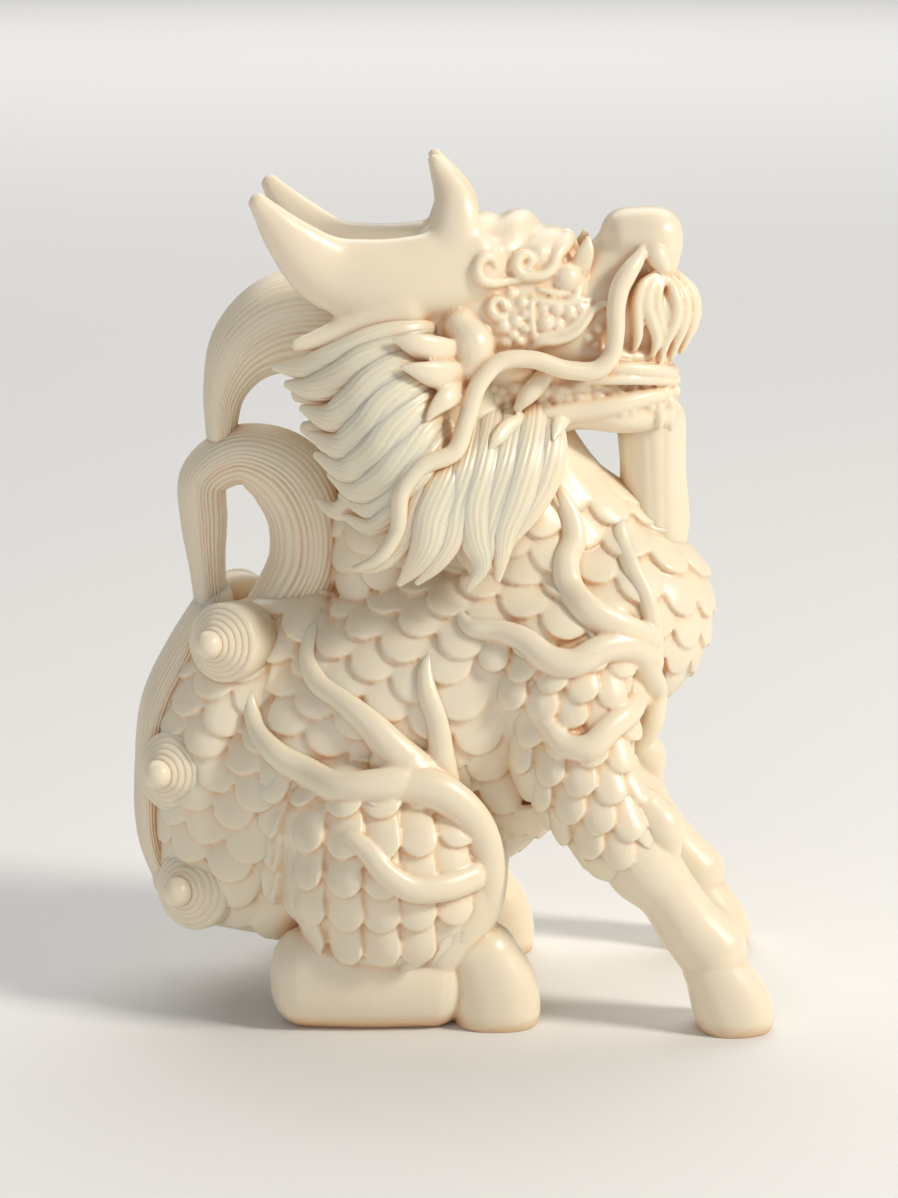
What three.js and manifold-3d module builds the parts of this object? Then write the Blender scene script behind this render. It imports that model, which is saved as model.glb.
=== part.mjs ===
// A seated dragon beast with antlers, carved in one piece from a pale ivory-coloured block.
// It sits on its haunches, chest up and head lifted, and looks along +X.
//
// Frame: millimetres, +Z up, +Y is the animal's left. The origin is on the ground under the
// middle of the figure's box. The figure is the same on both sides of the plane y = 0.
//
// A stop is [x, out, z, half height, half width]. "out" is the distance from the middle plane
// towards the animal's right side, so y = -out. Half height is measured in the side view.
import * as THREE from "three";
import { mergeVertices } from "three/addons/utils/BufferGeometryUtils.js";
import Module from "manifold-3d";

const wasm = await Module();
wasm.setup();

// Driving dimensions
const CENTRE_SHIFT = 0;
const GROUND = 0;
const SCALES_ROUND = 19;
const SCALE_RELIEF = 1.3;
const SCALE_DROOP = 0.8;
const SKIN_ROWS = 14;
const ROW_TILT = THREE.MathUtils.degToRad(21);
const SKIN_LOW = { x: -19, z: 3 };
const SKIN_HIGH = { x: -8, z: 60 };
const RAY_START = 80;

const IVORY = new THREE.MeshStandardMaterial({ color: 0xeedfc0, roughness: 0.38, metalness: 0 });

// Trunk and head, in the middle plane
const TORSO = [
  [-24.3, 0, 20.5, 12, 14],
  [-19.3, 0, 28.2, 14.5, 16],
  [-10.2, 0, 35.3, 16.5, 17],
  [0.1, 0, 40.8, 17, 17],
  [10.4, 0, 46.1, 16, 16.5],
  [19.8, 0, 50.3, 13.2, 14],
];
const BELLY = [
  [-14, 0, 22, 11, 14],
  [0, 0, 28, 12, 14],
  [10, 0, 34, 11, 13],
];
const SPINE = [
  [-18, 0, 48, 6, 9],
  [-26, 0, 42, 7.5, 11],
  [-30, 0, 31, 8, 12],
  [-30, 0, 20, 7, 12],
];
const RUMP = [
  [-31, 0, 15.5, 7, 9],
  [-22, 0, 15.5, 8, 13],
  [-12, 0, 16.5, 8.5, 13],
];
const NECK = [
  [14.2, 0, 51.4, 12.2, 13],
  [9.1, 0, 59.2, 12.1, 12],
  [3.9, 0, 67, 11.7, 12],
  [-1, 0, 74.7, 12, 11.5],
  [-1, 0, 83.6, 10.5, 10],
];
const NAPE = [
  [-9, 0, 56, 6, 8],
  [-8, 0, 68, 6, 9],
  [-8, 0, 80, 6, 8],
];
const THROAT = [
  [9, 0, 76, 4.5, 7],
  [14, 0, 67.5, 5, 8],
  [18.5, 0, 60, 7, 9],
];
const SKULL = [
  [-1.1, 0, 84.8, 10.7, 10],
  [6.4, 0, 87.4, 9.6, 10],
  [14, 0, 87.4, 7.5, 8.5],
];
const CROWN = [
  [1, 0, 94, 7.5, 8],
  [7.5, 0, 95, 7.2, 8],
  [13, 0, 93.4, 5.8, 7],
];
const SNOUT = [
  [13.9, 0, 89.4, 6.6, 7.5],
  [20.2, 0, 88.9, 6.8, 7],
  [25.2, 0, 88.4, 5, 6],
];
const NOSE = [
  [18.9, 0, 93.6, 3.1, 4],
  [21.4, 0, 97.2, 3.8, 4.5],
  [24.5, 0, 97.4, 4.3, 5],
  [25.6, 0, 95.6, 3.8, 5.4],
];
const LOWER_JAW = [
  [4, 0, 74.5, 4.5, 9],
  [9, 0, 74.4, 4.2, 8.5],
  [16.6, 0, 76.3, 3.2, 7],
  [22.9, 0, 76.2, 3, 5.8],
  [27, 0, 76.4, 2.6, 4],
];
const TONGUE = [
  [6, 0, 79, 2.6, 7],
  [16, 0, 79.8, 2.4, 6],
  [25, 0, 80, 2, 4.4],
];
const GOATEE = [
  [24.6, 0, 74.4, 5, 4],
  [25.4, 0, 68, 4.6, 4],
  [25.4, 0, 61, 5.4, 4.5],
  [23, 0, 55, 6, 5],
];

// Hair in the middle plane: crest, the ring of the tail, and the hair down the back
const CREST = [
  [-7, 0, 86, 8, 8],
  [-15, 0, 87.4, 6.9, 7],
  [-21.3, 0, 86.7, 6.3, 6],
  [-25.7, 0, 83.6, 4.8, 5],
  [-28.3, 0, 78.5, 2.8, 3.6],
  [-28.9, 0, 73, 1.9, 3],
];
const TAIL_RING = [
  [-25, 0, 45, 4, 5],
  [-21, 0, 50.7, 3.6, 5],
  [-17.1, 0, 56.6, 4.5, 5],
  [-17.4, 0, 63.7, 4.6, 5],
  [-20.8, 0, 69.5, 4.3, 5],
  [-26.5, 0, 71.1, 3, 4],
  [-31, 0, 68.2, 3, 3.6],
  [-31.3, 0, 61.8, 3.1, 3.6],
  [-30.8, 0, 55.3, 2.3, 4],
  [-30.2, 0, 49, 2.2, 5],
];
const BACK_HAIR = [
  [-30, 0, 51.4, 2.4, 5],
  [-33, 0, 44.8, 3.4, 6],
  [-36.2, 0, 38.2, 3.4, 6.5],
  [-37.6, 0, 30.2, 3, 6.5],
  [-37.8, 0, 20.8, 2.6, 6],
  [-34.8, 0, 12.7, 2.6, 5],
];

// Limbs of the right side
const THIGH = [
  [-11.1, 13, 26.3, 11.2, 9],
  [-8, 14, 20.1, 13.9, 9.5],
  [-6.1, 14.5, 14.9, 11.8, 8],
];
const HIND_SHIN = [
  [3.4, 15, 21.8, 4.2, 5],
  [2.6, 15, 16.6, 4.4, 5],
  [-1.1, 15, 10.4, 4.6, 5],
];
const HIND_FOOT = [
  [-18, 15, 6.2, 6.4, 5],
  [-9.9, 15, 6.2, 6.8, 5.2],
  [-2.2, 15, 5.4, 6, 4.8],
];
const HIND_HOOF = [
  [3.6, 15, 7.6, 5, 4.4],
  [6, 15, 3.2, 6, 4.8],
];
const SHOULDER = [
  [13.7, 9.5, 48.2, 11.1, 8],
  [13.7, 12, 42.5, 10, 7],
];
const UPPER_ARM = [
  [14, 12.6, 40.5, 9.4, 6],
  [17, 15.4, 31.5, 6.8, 5.4],
  [21, 16.8, 24.6, 4.8, 4.6],
];
const FORELEG = [
  [22.5, 17, 24, 4.4, 4.4],
  [24.2, 17, 21.2, 4.8, 4.4],
  [27, 17, 17.9, 3.9, 3.8],
  [30.2, 17, 13.3, 4.1, 4],
  [33, 17, 10, 4.5, 4.4],
];
const FORE_HOOF = [
  [33.4, 17, 7.4, 4.2, 4.2],
  [35.8, 17, 2.8, 5.2, 4.8],
];

// Antlers: a flattened blade with two tines
const ANTLER_BEAM = [
  [3.8, 8, 95.5, 4.4, 2.6],
  [-2.3, 9, 94, 5.2, 3],
  [-8.4, 10, 93.5, 5.1, 3],
  [-14.5, 11, 94.6, 4.6, 2.6],
  [-19.3, 13, 98.7, 3.1, 2.1],
  [-23.1, 14, 103.4, 1.3, 1.2],
];
const ANTLER_TOP_TINE = [
  [0.6, 8, 97, 3.9, 2.8],
  [0.7, 7, 102.4, 2.7, 2.2],
  [-0.5, 5.5, 105.3, 1.8, 1.6],
  [-1.8, 5, 107.7, 1, 1],
];
const ANTLER_LOW_TINE = [
  [-6, 10, 90.8, 4, 2.6],
  [-12.7, 11, 87.3, 2.2, 1.8],
  [-18.7, 12, 85.7, 0.9, 0.9],
];

// Face of the right side
const BROW = [
  [2.6, 9.3, 94, 1.5, 1.5],
  [5, 9.6, 92.2, 1.5, 1.5],
  [9.3, 9, 92.4, 1.5, 1.5],
  [13, 8, 94.2, 1.4, 1.4],
  [15.8, 5.5, 96.6, 1.2, 1.2],
];
const UPPER_LIP = [
  [3.8, 9.3, 79.2, 1.4, 1.4],
  [7, 9.6, 82.2, 1.4, 1.4],
  [13.7, 8.6, 82.2, 1.4, 1.6],
  [21.2, 6.8, 82.8, 1.4, 1.6],
  [28.4, 1.5, 82.6, 1.6, 2.4],
];
const FANG = [
  [11.3, 7.8, 81.4, 1.2, 1.1],
  [9.8, 8.6, 79.2, 0.9, 0.9],
  [8.7, 8.8, 77.4, 0.5, 0.5],
];
const EYE = { place: [13.6, 7.6, 89], radii: [2.2, 1.6, 2.2] };
const CHEEK = { place: [3.3, 9, 85.7], radii: [3.6, 2.6, 3.6] };

// Moustache bundles hang from the nostril to the lip. The whisker runs back along the cheek.
const MOUSTACHE = [
  [[25.8, 4, 92.8, 1.2, 1.2], [24.8, 5.8, 89.4, 1.8, 1.4], [25.6, 5.6, 84.8, 1, 0.9]],
  [[27.4, 2, 92.4, 1.2, 1.2], [30, 2, 89.8, 1.5, 1.8], [29.6, 2.2, 85, 1, 1.2]],
];
const WHISKER = [
  [24.9, 4.6, 95.4, 1.2, 1.2],
  [22.3, 6.6, 92.8, 1.2, 1.2],
  [20.7, 7.4, 88.6, 1.2, 1.2],
  [20.2, 7.8, 84.6, 1.2, 1.2],
  [17.6, 8.8, 82.4, 1.2, 1.2],
  [9.9, 10.2, 83.6, 1.2, 1.2],
  [6, 11, 83.4, 1.2, 1.2],
  [3.6, 12, 80.6, 1.2, 1.3],
  [2, 13.4, 76, 1.2, 1.4],
  [-3.5, 15, 71.5, 1.2, 1.4],
  [-6.1, 15.6, 66.5, 1.1, 1.3],
  [-9.6, 15.4, 59.8, 0.8, 1],
];

// Locks of the mane and the beard, from the crest round to the throat. Each has a root behind
// the jaw, a middle and a tip, as [x, out, z].
const LOCKS = [
  [[0, 11, 90], [-11, 13.4, 87.6], [-22, 8.5, 83.6]],
  [[-1.5, 12, 86.4], [-11, 15, 82.4], [-19.4, 10.5, 77.6]],
  [[-1.2, 12.6, 83], [-10.4, 15.6, 77.4], [-17.2, 11.5, 72.8]],
  [[-0.6, 13, 80], [-9, 16, 72.6], [-15.6, 11.5, 68]],
  [[0.6, 13, 77.6], [-6.6, 15.6, 69], [-13.2, 11.5, 63.2]],
  [[2.6, 12.6, 76], [-2, 16, 66.6], [-7.6, 14, 56.4]],
  [[5.4, 11.6, 75.6], [2.4, 15.4, 66], [-0.6, 14.2, 54.6]],
  [[9, 10.2, 75.6], [6.4, 14, 66.2], [3.4, 14, 55.4]],
  [[13.7, 8.1, 75.4], [11, 12.4, 67], [6.6, 13.6, 56.6]],
];
const LOCK_GROOVE = 1.5;
const LOCK_GROOVE_LENGTH = 0.72;
const MANE_HEART = new THREE.Vector3(0, -4, 74);
const HEART_HEIGHT = 8;

// Flames on the flanks: [x, z, half height], laid on the surface of the body
const HIND_FLAMES = [
  [[2, 14, 2.2], [5.1, 18.5, 2.3], [5.4, 24, 2.4], [3.4, 30, 2.6], [-1, 33.9, 2.6]],
  [[0.7, 34.1, 2.2], [-2.3, 38.3, 1.7], [-3.9, 43.6, 1.3], [-2.3, 47.6, 0.8]],
  [[-0.5, 32.4, 2.4], [-8.6, 36.4, 2.6], [-15.4, 43, 1.9], [-17.4, 50, 0.8]],
  [[-1.1, 32.2, 2.4], [-9.5, 32.2, 2.5], [-21, 35.4, 2], [-24.7, 42, 0.9]],
  [[4.8, 22.3, 2.2], [-2, 20.7, 2.2], [-8.8, 24.6, 1.9], [-13.7, 26.4, 1.1]],
];
const FRONT_FLAMES = [
  [[23.7, 51.6, 1.6], [25.3, 47, 1.8], [25.5, 41.5, 1.8], [23.4, 35.3, 1.3]],
  [[25.1, 48.2, 1.8], [18, 48.8, 1.8], [9.3, 49.6, 1.8], [0.9, 55, 0.8]],
  [[24.3, 50.6, 1.6], [17.4, 54, 1.8], [15, 61, 1.7], [13, 67.6, 0.8]],
  [[25, 49.4, 1.5], [19.6, 64.4, 0.8]],
  [[25.5, 42.1, 1.7], [18.6, 40.6, 1.8], [10.6, 41.8, 1.1]],
];
const FLAME_LIFT = 0.4;

// Snail curls beside the hair of the back: a boss with a ball in the middle
const CURLS = [
  { place: [-28.6, 8, 46], radius: 5.4 },
  { place: [-34.4, 8, 32], radius: 5.5 },
  { place: [-31.6, 8.5, 15.8], radius: 6 },
];
const CURL_AXIS = new THREE.Vector3(-0.62, -0.78, 0.1).normalize();

// Turn a closed three.js geometry into a solid.
function solidFrom(geometry) {
  const bare = geometry.clone();
  bare.deleteAttribute("normal");
  bare.deleteAttribute("uv");
  const merged = mergeVertices(bare, 1e-4);
  return new wasm.Manifold(new wasm.Mesh({
    numProp: 3,
    vertProperties: new Float32Array(merged.attributes.position.array),
    triVerts: new Uint32Array(merged.index.array),
  }));
}

function geometryFrom(solid) {
  const mesh = solid.getMesh();
  const geometry = new THREE.BufferGeometry();
  geometry.setAttribute("position", new THREE.BufferAttribute(mesh.vertProperties, 3));
  geometry.setIndex(new THREE.BufferAttribute(mesh.triVerts, 1));
  geometry.computeVertexNormals();
  return geometry;
}

function joined(solids) {
  return wasm.Manifold.union(solids);
}

// The largest closed skin, without the small hollows that crossing forms shut in.
function outerSkin(solid) {
  return solid.decompose().reduce((most, part) => (part.volume() > most.volume() ? part : most));
}

// A sphere pulled along a curve through the stops, with an oval section and round ends.
function sweep(stops, sides, rings) {
  const centres = stops.map(([x, out, z]) => new THREE.Vector3(x, -out, z));
  const sizes = stops.map(([, , , high, wide]) => new THREE.Vector3(high, wide, 0));
  const path = new THREE.CatmullRomCurve3(centres, false, "centripetal");
  const section = new THREE.CatmullRomCurve3(sizes, false, "chordal");
  const geometry = new THREE.SphereGeometry(1, sides, rings);
  const position = geometry.attributes.position;
  const capRings = sides >= 8 && rings >= 6 ? 2 : 1;
  for (let index = 0; index < position.count; index += 1) {
    const ring = Math.floor(index / (sides + 1));
    const angle = ((index % (sides + 1)) / sides) * 2 * Math.PI - Math.PI / 2;
    const fromEnd = Math.min(ring, rings - ring, capRings) / capRings;
    const along = THREE.MathUtils.clamp((ring - capRings) / (rings - 2 * capRings), 0, 1);
    const centre = path.getPoint(along);
    const tangent = path.getTangent(along);
    const across = new THREE.Vector3(0, 1, 0).addScaledVector(tangent, -tangent.y).normalize();
    const up = new THREE.Vector3().crossVectors(across, tangent);
    const size = sizeAt(section, stops, along);
    const shrink = Math.sin(fromEnd * Math.PI / 2);
    const beyond = Math.cos(fromEnd * Math.PI / 2) * Math.min(size.x, size.y);
    const end = ring < rings / 2 ? -1 : 1;
    centre.addScaledVector(tangent, end * beyond);
    centre.addScaledVector(up, Math.cos(angle) * size.x * shrink);
    centre.addScaledVector(across, Math.sin(angle) * size.y * shrink);
    position.setXYZ(index, centre.x, centre.y, centre.z);
  }
  return outward(solidFrom(geometry), geometry);
}

// The mane of the right side in one fluted fan: every lock is a ridge, and between two locks a
// shorter line is pressed in. The fan closes on a heart inside the neck.
function maneFan() {
  const ridges = LOCKS.map((stops) => {
    return new THREE.CatmullRomCurve3(stops.map(([x, out, z]) => new THREE.Vector3(x, -out, z)));
  });
  const lines = 2 * LOCKS.length - 1;
  const sides = lines + 1;
  const rings = 5;
  const geometry = new THREE.SphereGeometry(1, sides, rings);
  const position = geometry.attributes.position;
  for (let index = 0; index < position.count; index += 1) {
    const ring = Math.floor(index / (sides + 1));
    const line = (index % (sides + 1)) % sides;
    const along = (ring - 1) / (rings - 2);
    const inside = line === lines || ring === 0 || ring === rings;
    const spot = inside ? MANE_HEART.clone() : manePoint(ridges, line, along);
    if (line === lines && ring > 0 && ring < rings) {
      spot.z += (0.5 - along) * HEART_HEIGHT;
    }
    position.setXYZ(index, spot.x, spot.y, spot.z);
  }
  return outward(solidFrom(geometry), geometry);
}

function manePoint(ridges, line, along) {
  if (line % 2 === 0) {
    return ridges[line / 2].getPoint(along);
  }
  const before = ridges[(line - 1) / 2].getPoint(along * LOCK_GROOVE_LENGTH);
  const after = ridges[(line + 1) / 2].getPoint(along * LOCK_GROOVE_LENGTH);
  return before.lerp(after, 0.5).add(new THREE.Vector3(0, LOCK_GROOVE, 0));
}

function sizeAt(section, stops, along) {
  const size = section.getPoint(along);
  const least = Math.min(...stops.map((stop) => stop[3]));
  return new THREE.Vector2(Math.max(size.x, least), Math.max(size.y, least * 0.8));
}

// A solid whose faces point inwards has a negative volume, so its triangles are turned round.
function outward(solid, geometry) {
  if (solid.volume() > 0) {
    return solid;
  }
  const index = geometry.index.array;
  for (let first = 0; first < index.length; first += 3) {
    [index[first], index[first + 1]] = [index[first + 1], index[first]];
  }
  return solidFrom(geometry);
}

function ball({ place: [x, out, z], radii }, sides = 6, rings = 4) {
  const geometry = new THREE.SphereGeometry(1, sides, rings);
  geometry.scale(...radii);
  geometry.translate(x, -out, z);
  return solidFrom(geometry);
}

// The first surface point of a mesh that a line from far off meets.
function firstHit(mesh, from, direction) {
  const hits = new THREE.Raycaster(from, direction).intersectObject(mesh);
  return hits.length > 0 ? hits[0] : null;
}

// Lay a flame on the side of the body, so that it follows the bulge under it.
function laidOn(mesh, stops) {
  let out = 10;
  return stops.map(([x, z, high]) => {
    const hit = firstHit(mesh, new THREE.Vector3(x, -RAY_START, z), new THREE.Vector3(0, 1, 0));
    out = hit ? -hit.point.y : out;
    return [x, out + FLAME_LIFT * high, z, 1.2 * high, high];
  });
}

// Points spaced evenly along the body's right half at one height, from the breast to the back.
function outlineAt(mesh, height, middle) {
  const corners = [];
  for (let step = 0; step <= 90; step += 1) {
    const angle = (step / 90) * Math.PI;
    const away = new THREE.Vector3(Math.cos(angle), -Math.sin(angle), 0);
    const from = new THREE.Vector3(middle, 0, height).addScaledVector(away, RAY_START);
    const hit = firstHit(mesh, from, away.clone().negate());
    corners.push(hit ? hit.point : new THREE.Vector3(middle, 0, height));
  }
  const outline = new THREE.CurvePath();
  corners.slice(1).forEach((corner, index) => {
    outline.add(new THREE.LineCurve3(corners[index], corner));
  });
  return outline.getSpacedPoints(SCALES_ROUND);
}

// The scaled hide of the trunk, thighs and shoulders: a sphere whose rings are moved out to the
// body's outlines. Every other point is the tip of a scale. It stands out and hangs down, and
// each row is half a scale on from the row above. The rows slope down towards the breast, so
// the work is done on a tilted copy of the body and tilted back.
function scaledHide(plain) {
  const mesh = new THREE.Mesh(plain.geometry.clone().rotateY(-ROW_TILT), IVORY);
  const sides = 2 * SCALES_ROUND;
  const rings = SKIN_ROWS + 1;
  const geometry = new THREE.SphereGeometry(1, sides, rings);
  const position = geometry.attributes.position;
  const outlines = [];
  for (let ring = 0; ring <= rings; ring += 1) {
    const along = THREE.MathUtils.clamp((ring - 1) / (rings - 2), 0, 1);
    const height = THREE.MathUtils.lerp(SKIN_HIGH.z, SKIN_LOW.z, along);
    const middle = THREE.MathUtils.lerp(SKIN_HIGH.x, SKIN_LOW.x, along);
    const pole = ring === 0 || ring === rings;
    outlines.push({ height, middle, points: pole ? null : outlineAt(mesh, height, middle) });
  }
  for (let index = 0; index < position.count; index += 1) {
    const ring = Math.floor(index / (sides + 1));
    const side = index % (sides + 1);
    const { height, middle, points } = outlines[ring];
    if (points === null) {
      position.setXYZ(index, middle, 0, height);
      continue;
    }
    const column = Math.min(side, sides - side);
    const spot = points[column].clone();
    if ((column + ring) % 2 === 0 && isScaled(spot)) {
      const away = new THREE.Vector3(spot.x - middle, spot.y, 0).normalize();
      const below = ring < rings - 1 ? outlines[ring + 1].points[column] : spot;
      spot.lerp(below, SCALE_DROOP).addScaledVector(away, SCALE_RELIEF);
    }
    const left = side > SCALES_ROUND ? -1 : 1;
    position.setXYZ(index, spot.x, spot.y * left, spot.z);
  }
  geometry.setIndex(foldedBetweenTips(sides, rings));
  geometry.rotateY(ROW_TILT);
  return outward(solidFrom(geometry), geometry);
}

// Triangles of the hide, with every fold running between two hollows and never between two tips.
function foldedBetweenTips(sides, rings) {
  const faces = [];
  for (let ring = 0; ring < rings; ring += 1) {
    for (let side = 0; side < sides; side += 1) {
      const a = ring * (sides + 1) + side;
      const b = a + 1;
      const c = b + sides + 1;
      const d = c - 1;
      if (ring === 0) {
        faces.push(a, d, c);
      } else if (ring === rings - 1) {
        faces.push(a, d, b);
      } else if ((side + ring) % 2 === 0) {
        faces.push(a, d, b, b, d, c);
      } else {
        faces.push(a, d, c, a, c, b);
      }
    }
  }
  return faces;
}

// In the tilted frame, scales cover the flanks, the chest and the thigh, but not the hair or the feet.
function isScaled(point) {
  const besideHair = point.x < -38 || (point.x < -31 && point.z > 32);
  const underMane = point.z > 52 && point.x < -8;
  return !(besideHair || underMane);
}

function curl({ place: [x, out, z], radius }) {
  const boss = new THREE.SphereGeometry(1, 8, 4);
  boss.rotateX(Math.PI / 2);
  boss.scale(radius, radius, radius * 0.66);
  const bead = new THREE.SphereGeometry(radius * 0.44, 6, 4);
  bead.translate(0, 0, radius * 0.7);
  const turn = new THREE.Quaternion().setFromUnitVectors(new THREE.Vector3(0, 0, 1), CURL_AXIS);
  return joined([boss, bead].map((geometry) => {
    geometry.applyQuaternion(turn);
    geometry.translate(x, -out, z);
    return solidFrom(geometry);
  }));
}

// The plain body under the hide, which the hide and the flames are laid on
function plainBody() {
  const side = joined([sweep(THIGH, 16, 9), sweep(SHOULDER, 12, 6)]);
  const middle = [
    sweep(TORSO, 20, 13),
    sweep(BELLY, 16, 8),
    sweep(SPINE, 14, 9),
    sweep(NECK, 14, 8),
  ];
  const body = joined([...middle, side, side.mirror([0, 1, 0])]);
  return new THREE.Mesh(geometryFrom(body), IVORY);
}

// Forms that lie across the middle plane
function middleForms() {
  return [
    sweep(NECK, 8, 6),
    sweep(RUMP, 8, 5),
    sweep(NAPE, 8, 4),
    sweep(THROAT, 8, 4),
    sweep(SKULL, 8, 6),
    sweep(CROWN, 10, 5),
    sweep(SNOUT, 8, 5),
    sweep(NOSE, 7, 6),
    sweep(LOWER_JAW, 8, 6),
    sweep(TONGUE, 6, 4),
    sweep(GOATEE, 8, 5),
    sweep(CREST, 8, 9),
    sweep(TAIL_RING, 6, 14),
    sweep(BACK_HAIR, 8, 8),
  ];
}

// Legs of the right side, below the scales
function legs() {
  return [
    sweep(HIND_SHIN, 6, 4),
    sweep(HIND_FOOT, 8, 7),
    sweep(HIND_HOOF, 8, 6),
    sweep(UPPER_ARM, 8, 5),
    sweep(FORELEG, 8, 6),
    sweep(FORE_HOOF, 8, 6),
  ];
}

function head() {
  return [
    sweep(ANTLER_BEAM, 7, 7),
    sweep(ANTLER_TOP_TINE, 6, 5),
    sweep(ANTLER_LOW_TINE, 6, 4),
    sweep(BROW, 4, 5),
    sweep(UPPER_LIP, 4, 6),
    sweep(FANG, 3, 3),
    sweep(WHISKER, 4, 9),
    ball(EYE),
    ball(CHEEK),
    ...MOUSTACHE.map((stops) => sweep(stops, 4, 4)),
    maneFan(),
  ];
}

function flames(body) {
  return [...HIND_FLAMES, ...FRONT_FLAMES].map((stops) => sweep(laidOn(body, stops), 3, 5));
}

function figurine() {
  const body = plainBody();
  const right = joined([...legs(), ...head(), ...flames(body), ...CURLS.map(curl)]);
  const middle = joined([scaledHide(body), ...middleForms()]);
  const whole = joined([middle, right, right.mirror([0, 1, 0])]);
  const standing = outerSkin(whole.trimByPlane([0, 0, 1], GROUND));
  return geometryFrom(standing.translate([CENTRE_SHIFT, 0, 0]));
}

const dragon = new THREE.Mesh(figurine(), IVORY);
dragon.name = "dragon_figurine";

const model = new THREE.Group();
model.add(dragon);

export default model;
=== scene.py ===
"""A seated dragon beast with antlers, carved in one piece from a pale ivory-coloured block.

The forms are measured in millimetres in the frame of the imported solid: the animal looks along +X,
and +Z is up. They are modelled for the animal's right side (y below 0) and mirrored.

A stop is [x, out, z, half height, half width]: "out" is the distance from the middle plane, the
half height is measured in the side view and the half width across it. A laid stop is
[x, z, radius], and its distance from the middle plane is found on the surface under it.
"""

import math
import random

import bmesh
import bpy
import numpy as np
from mathutils import Matrix, Vector
from mathutils.bvhtree import BVHTree


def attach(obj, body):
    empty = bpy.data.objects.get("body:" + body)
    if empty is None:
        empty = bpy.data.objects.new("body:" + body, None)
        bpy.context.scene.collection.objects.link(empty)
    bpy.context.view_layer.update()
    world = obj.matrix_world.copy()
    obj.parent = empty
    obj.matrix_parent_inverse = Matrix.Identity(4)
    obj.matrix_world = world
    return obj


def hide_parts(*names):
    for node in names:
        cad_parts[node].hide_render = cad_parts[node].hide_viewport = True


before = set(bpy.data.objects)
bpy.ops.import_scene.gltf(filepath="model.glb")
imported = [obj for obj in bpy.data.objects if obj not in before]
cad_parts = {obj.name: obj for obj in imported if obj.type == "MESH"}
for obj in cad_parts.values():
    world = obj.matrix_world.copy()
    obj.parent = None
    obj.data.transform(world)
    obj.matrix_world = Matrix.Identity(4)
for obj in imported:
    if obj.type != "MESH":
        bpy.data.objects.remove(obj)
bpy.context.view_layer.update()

MILLIMETRE = 0.001
NODE = "dragon_figurine"
FAR = 90

# Camera of the photograph: it stands 12 degrees above the side of the animal
CAMERA_DISTANCE = 0.42
CAMERA_ELEVATION = math.radians(12)
CAMERA_AIM = 0.0515
CAMERA_LENS = 98.6

# Fineness of the carving, in millimetres
BASE_VOXEL = 0.55
BODY_VOXEL = 0.25
HEAD_VOXEL = 0.22
TUBE_TIP = 0.02
CRUMB_FACES = 100
MOST_TRIANGLES = {
    "trunk_with_scales": 175000,
    "hind_quarters": 145000,
    "fore_quarters": 130000,
    "head_and_antlers": 185000,
    "mane": 150000,
    "beard": 95000,
    "tail_and_curls": 105000,
}

# Scales of the trunk lie in rows that slope down towards the breast
ROW_TILT = math.radians(21)
ROW_STEP = 3.42
SCALE_STEP = 5.9
COLUMN_LEAN = 0.28
ANCHOR = (-25.3, 40.8)
TRUNK_SCALE = {"width": 6.1, "length": 6.6, "lift": 1.1, "crown": 0.3}
TRUNK_ROWS = range(-8, 12)
BODY_MIDDLE = -8
BODY_MIDDLE_HEIGHT = 60
BODY_MIDDLE_SLOPE = 11 / 57
MANE_EDGE = (6, 66)
LOWEST_SCALE = 7

# How a scale is made: the depth of its root, and the points across it
SCALE_ROOT = -0.3
SCALE_COLUMNS = 9

# Proportions of the flames, the locks and the snail curls
FLAME_FLATNESS = 0.8
FLAME_LIFT = 0.62
LOCK_FLATNESS = 0.6
CURL_BALL = 0.36
HAIR_STEP = 0.8
FOOT_SQUARENESS = 0.84

# Scales of the thigh stand in columns
THIGH_ANCHOR = (-12.9, 22.1)
THIGH_STEP = (4.4, 4.6)
THIGH_SCALE = {"width": 4.7, "length": 6.4, "lift": 1.3, "crown": 0.4, "lean": 0.35}
THIGH_OUTLINE = [
    (-23, 31), (-12.8, 32), (2.6, 31), (3.6, 23), (3.6, 16.5), (0.7, 12.3), (-3.6, 9.7),
    (-6.1, 7.4), (-12.9, 7.4), (-16, 9.7), (-18.5, 12.6), (-22.8, 14.3), (-24.3, 18.8), (-24.5, 24.6),
]

# Scales of the shoulder and upper arm are smaller, on a slanting lattice
SHOULDER_ANCHOR = (16.1, 33.7)
SHOULDER_ALONG = (3.6, -1.1)
SHOULDER_DOWN = (-1.25, -3.45)
SHOULDER_SCALE = {"width": 3.9, "length": 5.2, "lift": 1.2, "crown": 0.4, "lean": 0.25}
SHOULDER_OUTLINE = [
    (3.6, 48.5), (6.9, 39.8), (10.7, 30.9), (13.2, 26), (17, 22.6), (22.5, 22.6), (24, 27.5),
    (23.6, 33), (26.7, 37.9), (26.7, 43.6), (23.5, 50), (18.6, 48.7), (11.2, 48.4),
]

# Plates down the middle of the breast
BREAST_TOP = 66
BREAST_FOOT = 30
BREAST_STEP = 4.1
BREAST_PLATE = {"width": 10, "length": 8, "lift": 1.4, "crown": 0.3}

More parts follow.
